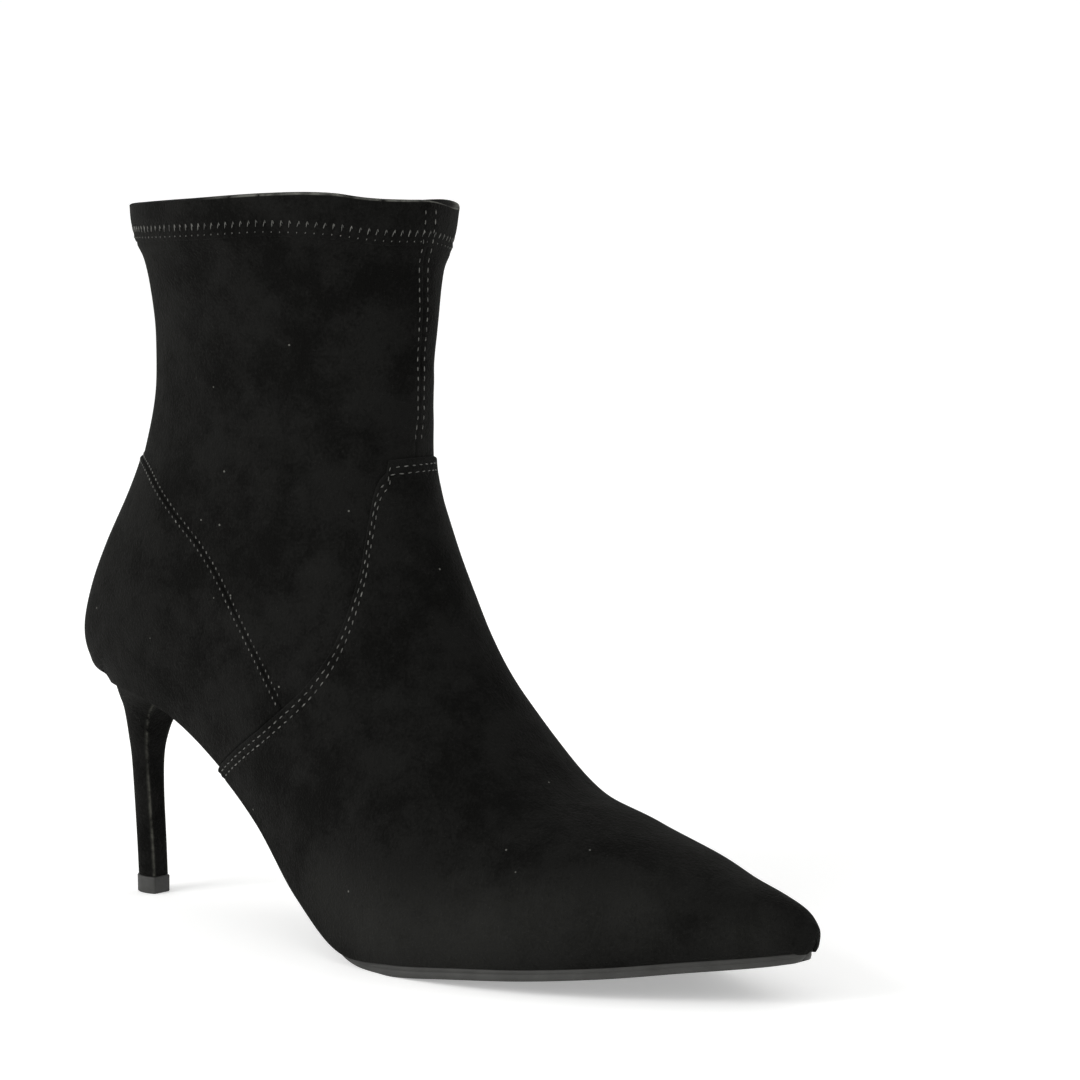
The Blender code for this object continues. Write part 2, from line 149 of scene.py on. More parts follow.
def lastPoints(t, s):
    # s runs from 0 on the lateral feather line over the ridge at 1 to 2 on the medial feather line
    t, s = np.broadcast_arrays(np.asarray(t, float), np.asarray(s, float))
    shape = t.shape
    t, s = t.ravel(), s.ravel()
    values, tuck = sectionAt(t)
    get = lambda name: values[:, column[name]]
    low = np.stack([get("lowX"), get("lowZ")], 1)
    rise = np.stack([get("topX"), get("topZ")], 1) - low
    start = np.arccos(tuck)
    nose = np.clip(t / last["noseEnd"], 0, 1)
    start = math.pi / 2 + (start - math.pi / 2) * nose
    under = get("belly") / np.sqrt(1 - tuck ** 2)
    q = np.where(s <= 1, s, 2 - s)
    b = last["bellyShare"]
    angleUnder = start * (1 - np.clip(q / b, 0, 1))
    angleOver = math.pi / 2 * np.clip((q - b) / (1 - b), 0, 1)
    power = 2 / get("square")
    isUnder = q < b
    reach = np.where(isUnder, np.cos(angleUnder), np.clip(np.cos(angleOver), 0, 1) ** power)
    height = np.where(isUnder, get("belly") - under * np.sin(angleUnder),
                      get("belly") + (1 - get("belly")) * np.sin(angleOver) ** power)
    across = np.where(s <= 1, -get("out"), get("inn")) * reach + get("mid")
    side = low + rise * height[:, None]
    return np.stack([side[:, 0], across, side[:, 1]], 1).reshape(*shape, 3)


def lastNormals(t, s):
    t, s = np.broadcast_arrays(np.asarray(t, float), np.asarray(s, float))
    dt, ds = 0.02, 0.01
    top = len(last["rows"]) - 1
    tLow, tHigh = np.clip(t - dt, 0.03, top), np.clip(t + dt, 0.07, top)
    sLow, sHigh = np.clip(s - ds, 0, 2), np.clip(s + ds, 0, 2)
    along = lastPoints(tHigh, s) - lastPoints(tLow, s)
    girth = lastPoints(np.maximum(t, 0.05), sHigh) - lastPoints(np.maximum(t, 0.05), sLow)
    # The back line joins the two sides behind the seat
    closed = (t >= last["seatEnd"]) & ((s < ds) | (s > 2 - ds))
    across = lastPoints(t, np.full_like(s, 1.99)) - lastPoints(t, np.full_like(s, 0.01))
    girth = np.where(closed[..., None], -across, girth)
    normal = np.cross(girth, along)
    size = np.linalg.norm(normal, axis=-1, keepdims=True)
    return normal / np.maximum(size, 1e-9)


def smoothLine(points, steps):
    padded = [points[0], *points, points[-1]]
    line = []
    for index in range(len(points) - 1):
        group = [np.array(point) for point in padded[index:index + 4]]
        line += [between(*group, step / steps) for step in range(steps)]
    return np.array(line + [np.array(points[-1])])


def signedSide(points, line):
    # Distance to a line in side view, above nought on its left
    x, z = points[..., 0], points[..., 2]
    best = np.full(x.shape, 1e9)
    sign = np.ones(x.shape)
    for (x0, z0), (x1, z1) in zip(line, line[1:]):
        dx, dz = x1 - x0, z1 - z0
        share = np.clip(((x - x0) * dx + (z - z0) * dz) / (dx * dx + dz * dz), 0, 1)
        away = np.hypot(x - x0 - share * dx, z - z0 - share * dz)
        side = np.sign(dx * (z - z0) - dz * (x - x0))
        closer = away < best - 1e-6
        best = np.where(closer, away, best)
        sign = np.where(closer, side, sign)
    return best * sign


def crossing(s, measure, tLow, tHigh, steps=160):
    # For each s the first t at which the measure turns from above nought to below
    t = np.linspace(tLow, tHigh, steps)
    value = measure(lastPoints(t[None, :], s[:, None]))
    found = []
    for row in value:
        below = np.nonzero((row[1:] < 0) & (row[:-1] >= 0))[0]
        if len(below) == 0:
            found.append(tHigh if row[0] >= 0 else tLow)
            continue
        i = below[0]
        found.append(t[i] + (t[i + 1] - t[i]) * row[i] / (row[i] - row[i + 1]))
    return np.array(found)


def shifted(line, away):
    # The line moved to its left by a distance
    run = np.gradient(line, axis=0)
    run /= np.linalg.norm(run, axis=1, keepdims=True)
    return line + np.stack([-run[:, 1], run[:, 0]], 1) * away


collarLine = smoothLine(last["collarEdge"], 6)
vampLine = smoothLine(last["vampEdge"], 6)
counterLine = shifted(smoothLine(last["counterEdge"], 12), last["counterShift"])


def chords(t):
    # Each section in side view, as its lower end and the way up to its ridge
    values, tuck = sectionAt(t)
    low = values[:, [column["lowX"], column["lowZ"]]]
    return values, tuck, low, values[:, [column["topX"], column["topZ"]]] - low


def placeInSide(points):
    # Where a side-view point lies on the lateral side: its t and its share q from the feather line
    t = np.linspace(1.0, len(last["rows"]) - 1.01, 2500)
    values, tuck, low, rise = chords(t)
    found = []
    before = last["seatEnd"] + 9.0
    for point in points:
        away = point - low
        cross = rise[:, 0] * away[:, 1] - rise[:, 1] * away[:, 0]
        height = (away * rise).sum(1) / (rise ** 2).sum(1)
        good = np.nonzero((cross[1:] * cross[:-1] <= 0) & (height[1:] > -0.3) & (height[1:] < 1.2))[0]
        i = good[np.argmin(np.abs(t[good] - before))]
        before = t[i] + (t[i + 1] - t[i]) * cross[i] / (cross[i] - cross[i + 1])
        found.append(before)
    t = np.array(found)
    values, tuck, low, rise = chords(t)
    height = ((points - low) * rise).sum(1) / (rise ** 2).sum(1)
    b, belly = last["bellyShare"], values[:, column["belly"]]
    over = np.clip((height - belly) / (1 - belly), 0, 1) ** (values[:, column["square"]] / 2)
    under = np.clip((belly - height) * np.sqrt(1 - tuck ** 2) / belly, 0, 1)
    q = np.where(height >= belly, b + (1 - b) * np.arcsin(over) / (math.pi / 2),
                 b * (1 - np.arcsin(under) / np.arccos(tuck)))
    return np.stack([t, np.clip(q, 0, 1)], 1)


def runOf(line):
    # The distance along a line to each of its points
    return np.concatenate([[0], np.cumsum(np.linalg.norm(np.diff(line, axis=0), axis=1))])


def pointAt(where, run, line):
    return np.stack([np.interp(where, run, line[:, axis]) for axis in range(line.shape[1])], -1)


def resampled(line, count):
    run = runOf(line)
    return pointAt(np.linspace(0, run[-1], count), run, line)


def collarHeight(points):
    share = np.clip((points[..., 1] + 4) / 22, 0, 1)
    drop = last["medialDrop"] * share * share * (3 - 2 * share)
    return np.interp(points[..., 0], collarLine[:, 0], collarLine[:, 1]) - drop


def bandHeight(points):
    return np.interp(points[..., 0], band["heightAt"], band["heights"])


def underCollar(drop):
    return lambda points: collarHeight(points) - drop - points[..., 2]


def aboveBandFoot(rise):
    return lambda points: collarHeight(points) - bandHeight(points) + rise - points[..., 2]


def insideVamp(points):
    return signedSide(points, vampLine)


def arcPlaces(t0, t1, s, distances):
    # The t at the given distances back from t1, measured along the surface
    steps = np.linspace(0, 1, 60)
    t = t1[:, None] + (t0 - t1)[:, None] * steps[None, :]
    points = lastPoints(t, s[:, None] + 0 * t)
    steps = np.cumsum(np.linalg.norm(np.diff(points, axis=1), axis=2), 1)
    run = np.concatenate([np.zeros((len(s), 1)), steps], 1)
    return np.stack([np.interp(distances, run[i], t[i]) for i in range(len(s))], 0)


# Creases and hollows that the soft wall has taken

creases = {
    "columns": ("x", "z", "angle", "long", "wide", "depth"),
    "lateral": (
        (62.0, 150.0, 25.0, 34.0, 7.0, -0.8),
        (40.0, 138.0, 20.0, 30.0, 6.0, -0.7),
        (78.0, 128.0, 40.0, 26.0, 7.0, 0.6),
        (28.0, 168.0, 10.0, 26.0, 8.0, -0.6),
        (92.0, 96.0, 118.0, 26.0, 7.0, 0.6),
        (120.0, 52.0, 128.0, 30.0, 8.0, -0.8),
        (140.0, 38.0, 115.0, 22.0, 7.0, -0.7),
        (20.0, 96.0, 60.0, 26.0, 9.0, 0.5),
    ),
    "medial": (
        (58.0, 146.0, 20.0, 34.0, 7.0, -0.8),
        (38.0, 160.0, 12.0, 28.0, 7.0, -0.6),
        (122.0, 50.0, 125.0, 30.0, 8.0, -0.8),
        (88.0, 100.0, 115.0, 26.0, 8.0, 0.6),
    ),
}


def creaseDepth(points):
    x, y, z = points[..., 0], points[..., 1], points[..., 2]
    total = np.zeros(x.shape)
    for name, side in (("lateral", -1), ("medial", 1)):
        onSide = 1 / (1 + np.exp(-side * y / 4.0))
        for values in creases[name]:
            c = dict(zip(creases["columns"], values))
            a = math.radians(c["angle"])
            u = (x - c["x"]) * math.cos(a) + (z - c["z"]) * math.sin(a)
            v = -(x - c["x"]) * math.sin(a) + (z - c["z"]) * math.cos(a)
            total += onSide * c["depth"] * np.exp(-(u / c["long"]) ** 2 - (v / c["wide"]) ** 2)
    return total


# Spots painted darker or lighter on the lateral side: x, z, reach and shade
# The strong light ones low on the forefoot wall are painted light, thrown up from the floor
napAndLightSpots = (
    (60, 193, 9, -0.5), (37, 150, 10, -0.8), (31, 134, 8, -0.8), (66, 158, 12, -0.8), (81, 137, 10, -0.8),
    (68, 114, 11, -0.8), (42, 100, 10, -0.7), (66, 89, 11, -0.7), (97, 51, 11, -0.8), (71, 49, 8, -0.7),
    (163, 41, 13, -0.7), (142, 52, 12, -0.8), (84, 105, 9, 0.8), (39, 84, 9, 0.6), (58, 146, 6, 0.7),
    (123, 77, 9, 0.6), (170, 22, 13, 2.4), (107, 108, 8, 0.7), (16, 95, 10, 0.6), (51, 170, 9, 0.6),
    (86, 170, 9, 0.7), (122, 12, 14, 2.6), (194, 25, 12, 2.2), (219, 20, 9, 2.0), (148, 16, 15, 2.6),
    (100, 20, 14, 1.6), (70, 165, 30, -0.4), (92, 175, 20, -0.6), (205, 36, 12, -0.5),
)


def napAndLightAt(points):
    x, y, z = points[..., 0], points[..., 1], points[..., 2]
    # The spots add up on the lateral side only; the light ones low on the forefoot paint light from the floor
    shade = np.zeros(x.shape)
    for placeX, placeZ, reach, strength in napAndLightSpots:
        shade += strength * np.exp(-((x - placeX) ** 2 + (z - placeZ) ** 2) / reach ** 2)
    return shade / (1 + np.exp(y / 3.0))


# Meshes

def gridMesh(name, points, material, closeRound=False, fillEnds=False, edgeHighlight=None):
    # A grid set to the given points in millimetres. Its last argument says where a pale highlight is painted
    # on lit edges.
    rows, columns = points.shape[:2]
    bm = bmesh.new()
    bmesh.ops.create_grid(bm, x_segments=columns - 1, y_segments=rows - 1, size=1.0)
    bm.verts.ensure_lookup_table()
    for vertex, point in zip(bm.verts, points.reshape(-1, 3)):
        vertex.co = Vector(point) * mm
    # Each grid carries the painted spots, with the painted light low on the forefoot among them
    marks = {"napAndLight": napAndLightAt(points)}
    if edgeHighlight is not None:
        marks["edgeHighlight"] = edgeHighlight
    for mark, values in marks.items():
        layer = bm.verts.layers.float.new(mark)
        for vertex, value in zip(bm.verts, values.reshape(-1)):
            vertex[layer] = value
    bmesh.ops.remove_doubles(bm, verts=bm.verts, dist=0.00002)
    bmesh.ops.dissolve_degenerate(bm, edges=bm.edges, dist=0.00001)
    if fillEnds:
        bmesh.ops.holes_fill(bm, edges=bm.edges, sides=0)
    if closeRound or fillEnds:
        bmesh.ops.recalc_face_normals(bm, faces=bm.faces)
    return finishMesh(name, bm, material)


def finishMesh(name, bm, *materials):
    mesh = bpy.data.meshes.new(name)
    bm.to_mesh(mesh)
    bm.free()
    mesh.shade_smooth()
    for material in materials:
        mesh.materials.append(material)
    piece = bpy.data.objects.new(name, mesh)
    bpy.context.scene.collection.objects.link(piece)
    return piece


def addWall(piece, thickness, innerMaterial=0, rimMaterial=0):
    wall = piece.modifiers.new("wall", "SOLIDIFY")
    wall.thickness = thickness * mm
    wall.offset = -1.0
    wall.use_quality_normals = True
    wall.material_offset = innerMaterial
    wall.material_offset_rim = rimMaterial


def onBoot(piece, slot, *nodes):
    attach(piece, "root")
    if nodes:
        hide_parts(*nodes)


def orientOut(piece, centre=Vector((0.09, 0.0, 0.09))):
    # Turns the faces of an open surface away from the middle of the boot
    bm = bmesh.new()
    bm.from_mesh(piece.data)
    bmesh.ops.recalc_face_normals(bm, faces=bm.faces)
    score = sum(face.normal.dot(face.calc_center_median() - centre) * face.calc_area() for face in bm.faces)
    if score < 0:
        bmesh.ops.reverse_faces(bm, faces=bm.faces)
    bm.to_mesh(piece.data)
    bm.free()


# Materials

def hexColour(text):
    values = [int(text[i:i + 2], 16) / 255 for i in (0, 2, 4)]
    return [v / 12.92 if v <= 0.04045 else ((v + 0.055) / 1.055) ** 2.4 for v in values] + [1.0]


def addNode(tree, kind, settings=None, links=None):
    node = tree.nodes.new(kind)
    for key, value in (settings or {}).items():
        if isinstance(key, int) or key in node.inputs:
            node.inputs[key].default_value = value
        else:
            setattr(node, key, value)
    for key, source in (links or {}).items():
        tree.links.new(source, node.inputs[key])
    return node


def newMaterial(name):
    material = bpy.data.materials.new(name)
    material.use_nodes = True
    tree = material.node_tree
    tree.nodes.clear()
    return material, tree


def ramp(tree, source, stops):
    node = addNode(tree, "ShaderNodeValToRGB", {}, {"Fac": source})
    elements = node.color_ramp.elements
    while len(elements) < len(stops):
        elements.new(0.5)
    for element, (place, colour) in zip(elements, stops):
        element.position = place
        element.color = colour
    return node


# Polyurethane microfibre, brushed to a short suede nap: no gloss at all, a grey bloom at grazing angles,
# soft lighter and darker painted spots, and painted light low on the forefoot wall
suedeLook = {
    "dark": "0a0a09", "light": "141413", "lint": "5a5a56", "paintedHighlight": "62625d",
    "patchSize": 17.0, "strokeSize": 5.0, "grainSize": 0.8, "fibreSize": 0.35,
    "lintCell": 6.5, "lintSize": 0.045, "lintRare": 0.72,
    "roughness": 0.95, "specular": 0.04, "sheen": 0.045, "sheenRoughness": 0.4, "sheenTint": "a5a59f",
    "bump": 1.0, "bumpDepth": 0.4, "napAndLightAmount": 0.07, "bounceLit": "2c2c2a", "bounceLightMost": 0.36,
}


def noise(tree, place, size, **settings):
    # The pattern's scale comes from a size in millimetres
    settings = {"Scale": 1000 / size, **settings}
    return addNode(tree, "ShaderNodeTexNoise", settings, {"Vector": place}).outputs["Fac"]


def setInputs(tree, node, values):
    # Each value is a constant or another node's output
    for key, value in values.items():
        if isinstance(value, bpy.types.NodeSocket):
            tree.links.new(value, node.inputs[key])
        else:
            node.inputs[key].default_value = value


def maths(tree, operation, *values):
    node = addNode(tree, "ShaderNodeMath", {"operation": operation})
    setInputs(tree, node, dict(enumerate(values)))
    return node.outputs[0]


def mixColours(tree, share, first, second):
    node = addNode(tree, "ShaderNodeMix", {"data_type": "RGBA"})
    setInputs(tree, node, {0: share, 6: first, 7: second})
    return node.outputs[2]


def makeSuede(name, look):
    material, tree = newMaterial(name)
    place = addNode(tree, "ShaderNodeTexCoord").outputs["Object"]
    patches = noise(tree, place, look["patchSize"], Detail=3.0, Roughness=0.55)
    brushed = noise(tree, place, look["strokeSize"], Detail=4.0, Roughness=0.6, Distortion=0.6)
    grain = noise(tree, place, look["grainSize"], Detail=2.0)
    fibre = noise(tree, place, look["fibreSize"], Detail=1.0)
    # The painted spots darken or lighten the nap; the strongest are painted light low on the forefoot
    napAndLightAmount = addNode(tree, "ShaderNodeAttribute", {"attribute_name": "napAndLight"}).outputs["Fac"]
    blend = maths(tree, "MULTIPLY_ADD", brushed, 0.4, patches)
    blend = maths(tree, "MULTIPLY_ADD", grain, 0.5, blend)
    blend = maths(tree, "SUBTRACT", blend, 0.06)
    blend = maths(tree, "MULTIPLY_ADD", maths(tree, "MINIMUM", napAndLightAmount, 1.0), look["napAndLightAmount"], blend)
    nap = ramp(tree, blend, ((0.74, hexColour(look["dark"])), (1.0, hexColour(look["light"]))))
    # Where the spots are strongest, low on the forefoot wall, the colour is mixed towards a paler tone:
    # painted light thrown up from the floor
    bounceLightShare = addNode(tree, "ShaderNodeMapRange", {
        "From Min": 0.5, "From Max": 2.8, "To Max": look["bounceLightMost"]}, {"Value": napAndLightAmount}).outputs[0]
    bounceLit = mixColours(tree, bounceLightShare, nap.outputs["Color"], hexColour(look["bounceLit"]))
    # Lint: a few pale specks, each in a cell of its own
    cell = addNode(tree, "ShaderNodeTexVoronoi", {"Scale": 1000 / look["lintCell"]}, {"Vector": place})
    near = maths(tree, "LESS_THAN", cell.outputs["Distance"], look["lintSize"])
    chosen = addNode(tree, "ShaderNodeSeparateColor", {}, {"Color": cell.outputs["Color"]})
    some = maths(tree, "GREATER_THAN", chosen.outputs["Red"], look["lintRare"])
    specked = mixColours(tree, maths(tree, "MULTIPLY", near, some), bounceLit, hexColour(look["lint"]))
    # A pale highlight painted along lit edges, broken up by the grain
    paintedHighlight = addNode(tree, "ShaderNodeAttribute", {"attribute_name": "edgeHighlight"}).outputs["Fac"]
    broken = addNode(tree, "ShaderNodeMapRange", {"From Min": 0.35, "From Max": 0.6}, {"Value": brushed})
    highlightShare = maths(tree, "MULTIPLY", paintedHighlight, broken.outputs[0])
    colour = mixColours(tree, highlightShare, specked, hexColour(look["paintedHighlight"]))
    height = maths(tree, "MULTIPLY_ADD", fibre, 0.5, grain)
    height = maths(tree, "MULTIPLY_ADD", brushed, 1.4, height)
    bump = addNode(tree, "ShaderNodeBump", {"Strength": look["bump"], "Distance": look["bumpDepth"] * mm},
                   {"Height": height})
    shader = addNode(tree, "ShaderNodeBsdfPrincipled", {
        "Roughness": look["roughness"], "Specular IOR Level": look["specular"],
        "Sheen Weight": look["sheen"], "Sheen Roughness": look["sheenRoughness"],
        "Sheen Tint": hexColour(look["sheenTint"])}, {"Base Color": colour, "Normal": bump.outputs["Normal"]})
    addNode(tree, "ShaderNodeOutputMaterial", {}, {"Surface": shader.outputs[0]})
    return material


def makePlain(name, colours, size, roughness, bump, depth, sheen=0.0, specular=0.5):
    # Two tones that drift over the surface with a fine relief
    material, tree = newMaterial(name)
    place = addNode(tree, "ShaderNodeTexCoord").outputs["Object"]
    drift = noise(tree, place, size, Detail=5.0, Roughness=0.65)
    tone = ramp(tree, drift, ((0.35, hexColour(colours[0])), (0.65, hexColour(colours[1]))))
    grain = noise(tree, place, 0.5, Detail=2.0)
    relief = addNode(tree, "ShaderNodeBump", {"Strength": bump, "Distance": depth * mm}, {"Height": grain})
    shader = addNode(tree, "ShaderNodeBsdfPrincipled",
                     {"Roughness": roughness, "Sheen Weight": sheen, "Specular IOR Level": specular},
                     {"Base Color": tone.outputs["Color"], "Normal": relief.outputs["Normal"]})
    addNode(tree, "ShaderNodeOutputMaterial", {}, {"Surface": shader.outputs[0]})
    return material


suede = makeSuede("microfibreSuede", suedeLook)
# The same microfibre pulled tight over the heel block and glued, with a pale highlight painted along its
# front corners
heelSuede = makeSuede("heelCoverSuede", {**suedeLook, "patchSize": 12.0, "paintedHighlight": "55554f"})
# Nylon tricot, knitted and brushed: matt, with a faint bloom
lining = makePlain("tricotLining", ("141413", "1d1d1c"), 3.0, 0.9, 0.4, 0.2, sheen=0.2)
# Smooth microfibre glued over the board: matt, a little warmer than the upper
sockLining = makePlain("sockLiningMicrofibre", ("1a1918", "242321"), 8.0, 0.8, 0.3, 0.15, sheen=0.1)
# Thermoplastic rubber from a blasted mould: a dull grey edge that takes a soft wide shine
rubber = makePlain("mouldedRubber", ("282826", "323230"), 6.0, 0.62, 0.25, 0.12, specular=0.35)
# The same rubber on its tread side, rougher and a little darker
soleFace = makePlain("mouldedRubberTread", ("1f1f1e", "282826"), 5.0, 0.7, 0.5, 0.25, specular=0.35)
# Hard polyurethane top piece, moulded: dense and nearly smooth
tipRubber = makePlain("topPieceRubber", ("222220", "2e2e2c"), 3.0, 0.58, 0.3, 0.12, specular=0.4)
# Spun polyester sewing thread, waxed: black with a soft sheen, coloured paler than the nap, its grey tones
# painting the light that the strands catch
thread = makePlain("polyesterThread", ("20201e", "6e6e69"), 1.3, 0.5, 0.5, 0.08, sheen=0.1)
print("materials made")


# Upper: one skin with a lining, to the fold of the collar

upper = {"columns": 181, "rows": 240, "wall": 1.6, "collarDrop": 1.2, "margin": 3.0, "bandBulge": 0.95,
         "bulgeReach": 3.0, "seamDepth": 0.22}
band = {"heightAt": (0.0, 45.0, 70.0, 90.0, 105.0), "heights": (10.8, 11.2, 11.4, 12.6, 12.8),
        "thick": 1.1, "round": 1.5, "over": 0.5, "inside": 11.0, "insideOffset": -2.1, "columns": 220,
        "puff": 0.2, "foldAngles": ((15, 0.7), (32, 1.0), (48, 1.0), (65, 1.0), (90, 0.3), (115, 0.0),
                                    (140, 0.0), (160, 0.0))}
footT = np.linspace(4.0, 1.0, 60)
footLine = lastPoints(footT, 0.0)


def settle(points, base, t, s):
    # The wall ends level with the feather line, and the toe tip is flat underneath
    q = np.minimum(s, 2 - s)
    weight = np.clip(1 - q / 0.12, 0, 1)
    weight *= np.clip((t - 0.6) / 0.8, 0, 1) * np.clip((10.0 - t) / 1.5, 0, 1)
    for axis in (0, 2):
        points[..., axis] += (base - points)[..., axis] * weight
    ground = np.interp(points[..., 0], footLine[:, 0], footLine[:, 2])
    points[..., 2] = np.where(t < 2.5, np.maximum(points[..., 2], ground), points[..., 2])
    return points


def featherMargin(edge, t, side, wrap=0.0):
    # Columns that turn a panel's lower edge in under the foot. A wrapped panel bulges down at the waist.
    deep = 0.14 + wrap * np.clip((t - 9.0) / 1.2, 0, 1)
    values, tuck = sectionAt(t)
    run = lastPoints(np.minimum(t + 0.05, 26), 0.0 * t) - lastPoints(np.maximum(t - 0.05, 0), 0.0 * t)
    run[:, 1] = 0
    run /= np.maximum(np.linalg.norm(run, axis=1, keepdims=True), 1e-9)
    down = np.stack([-run[:, 2], 0 * t, run[:, 0]], 1)
    down *= np.sign(-down[:, 2:3])
    half = np.abs(edge[:, 1] - values[:, column["mid"]])
    fade = np.clip((last["seatEnd"] - 0.1 - t) / 0.5, 0, 1) * np.clip((t - 0.7) / 0.7, 0, 1)
    columns = []
    for share in (0.04, 0.12, 0.4, 1.0):
        turned = edge + down * (deep * math.sin(math.pi / 2 * min(1.0, share * 8)) * fade)[:, None]
        turned[:, 1] -= side * np.minimum(upper["margin"] * share, half * 0.8) * fade
        columns.append(turned)
    return np.stack(columns, 1)


def shaftOffset(points):
    # The shaft swells to meet the band, and dips along its front seam
    below = collarHeight(points) - bandHeight(points) - points[..., 2]
    swell = upper["bandBulge"] * np.exp(-(np.maximum(below, 0) / upper["bulgeReach"]) ** 2)
    swell = np.where(below < 0, 0.3 + (upper["bandBulge"] - 0.3) * np.exp(-(below / 0.9) ** 2), swell)
    seam = np.exp(-((points[..., 1] + 1.1) / 0.45) ** 2) * (points[..., 0] > 60) * (points[..., 2] > 120)
    return swell * (below < 40) - upper["seamDepth"] * seam + creaseDepth(points)


def makeUpper():
    s = np.linspace(0, 2, upper["columns"])
    s = np.sort(np.concatenate([s, 1 + np.linspace(-0.06, 0.03, 24)]))
    top = crossing(s, underCollar(upper["collarDrop"]), *last["shaftSpan"])
    shares = np.linspace(0, 1, upper["rows"]) ** 0.92
    t = shares[:, None] * top[None, :]
    s = s[None, :] + 0 * t
    base = lastPoints(t, s)
    points = settle(base + lastNormals(t, s) * shaftOffset(base)[..., None], base, t, s)
    piece = gridMesh("upperSkin", points[:, ::-1], suede)
    piece.data.materials.append(lining)
    orientOut(piece)
    addWall(piece, upper["wall"], 1, 1)
    onBoot(piece, "suede", "upper")


makeUpper()
print("upper made")


# Collar band: the shaft's top folded over elastic and stitched down

def bandOffset(height):
    # How far the band stands out at a height over its lower edge
    edge = np.sqrt(np.clip(1 - np.maximum(0.0, 1 - height / band["round"]) ** 2, 0, 1))
    stitch = 0.28 * np.exp(-((height - 3.6) / 1.2) ** 2)
    puff = band["puff"] * np.sin(math.pi * np.clip(height / 11.0, 0, 1))
    return band["thick"] * (0.72 + 0.28 * edge) + puff - stitch


def makeBand():
    s = np.linspace(0, 2, band["columns"])
    low = crossing(s, aboveBandFoot(0.0), *last["shaftSpan"])
    high = crossing(s, underCollar(0.6), *last["shaftSpan"])
    inner = crossing(s, underCollar(band["inside"]), *last["shaftSpan"])
    rows, edgeHighlight = [], []

    def addRow(t, offset, lift=0.0, paintedHighlight=0.0):
        base = lastPoints(t, s)
        away = lastNormals(t, s) * (offset + creaseDepth(base))[:, None]
        rows.append(base + away + np.array([0, 0, lift]))
        # The fold carries a painted highlight, only towards the front of the collar
        edgeHighlight.append(paintedHighlight * np.clip((base[:, 0] - 52) / 18, 0, 1))
    for share in np.linspace(0, 1, 26) ** 1.25:
        t = low + (high - low) * share
        addRow(t, bandOffset(share * bandHeight(lastPoints(t, s))))
    middle = (band["thick"] + band["insideOffset"]) / 2
    half = (band["thick"] - band["insideOffset"]) / 2
    # Each row over the fold gets its share of that painted highlight
    for angle, paintedHighlight in band["foldAngles"]:
        turn = math.radians(angle)
        addRow(high, 0 * s + middle + half * math.cos(turn), band["over"] * math.sin(turn), paintedHighlight)
    for share in np.linspace(0, 1, 6):
        addRow(high + (inner - high) * share, 0 * s + band["insideOffset"] + 0.35 * share ** 3)
    addRow(inner, 0 * s + band["insideOffset"] + 0.9)
    rows.append(rows[0])
    edgeHighlight.append(edgeHighlight[0])
    piece = gridMesh("collarBand", np.array(rows), suede, closeRound=True, edgeHighlight=np.array(edgeHighlight))
    onBoot(piece, "suede", "collar_band")


makeBand()
print("band made")


# Vamp: laid over the shaft from the instep to the toe, its edge turned and stitched twice

vamp = {"columns": 221, "thick": 1.25, "round": 0.9, "rowsAt": (2.0, 4.0), "rowDepth": 0.16, "wall": 0.8,
        "wrap": 0.8}


def edgeProfile(distance, look):
    # How far a panel stands proud at a distance in from its edge
    share = np.clip(distance / look["round"], 0, 1)
    proud = look["thick"] * np.sqrt(np.clip(1 - (1 - share) ** 2, 0, 1))
    for at in look["rowsAt"]:
        proud = proud - look["rowDepth"] * np.exp(-((distance - at) / 0.55) ** 2)
    if look["rowsAt"]:
        proud = proud + 0.12 * np.exp(-((distance - sum(look["rowsAt"]) / 2) / 0.6) ** 2)
    return np.where(distance <= 0, -0.25, proud)


vampEdgeT = {}


def makeVamp():
    s = np.linspace(0, 2, vamp["columns"])
    edge = crossing(s, insideVamp, 8.0, 16.0)
    vampEdgeT["s"], vampEdgeT["t"] = s, edge
    near = np.concatenate([[0.0, 0.08, 0.25, 0.5, 0.9], np.arange(1.3, 6.4, 0.4)])
    tNear = arcPlaces(np.zeros_like(edge), edge, s, near)
    far = np.linspace(0, 1, 150)[1:] ** 1.05
    tFar = tNear[:, -1:] * (1 - far[None, :])
    t = np.concatenate([tNear, tFar], 1).T
    distance = np.concatenate([near, np.full(len(far), 50.0)])[:, None] + 0 * t
    base = lastPoints(t, s[None, :] + 0 * t)
    offset = edgeProfile(distance, vamp)
    sAll = s[None, :] + 0 * t
    points = base + lastNormals(t, sAll) * (offset + creaseDepth(base))[..., None]
    points = settle(points, base, t, sAll)
    points = np.concatenate([featherMargin(points[:, 0], t[:, 0], -1, vamp["wrap"])[:, ::-1], points,
                             featherMargin(points[:, -1], t[:, -1], 1, vamp["wrap"])], 1)
    piece = gridMesh("vampPanel", points, suede)
    orientOut(piece, Vector((0.15, 0.0, 0.03)))
    addWall(piece, vamp["wall"])
    onBoot(piece, "suede", "vamp")


makeVamp()
print("vamp made")


# Counter: the heel panel, its long seam stitched twice

counter = {"columns": 150, "rows": 70, "thick": 0.62, "round": 0.7, "rowsAt": (), "wall": 0.5,
           "stitchAt": (0.8, -0.8), "stitchLift": (0.02, 0.06), "stitchPitch": 1.95, "stitchLong": 0.85,
           "stitchWide": 0.3, "stitchLean": 0.55}


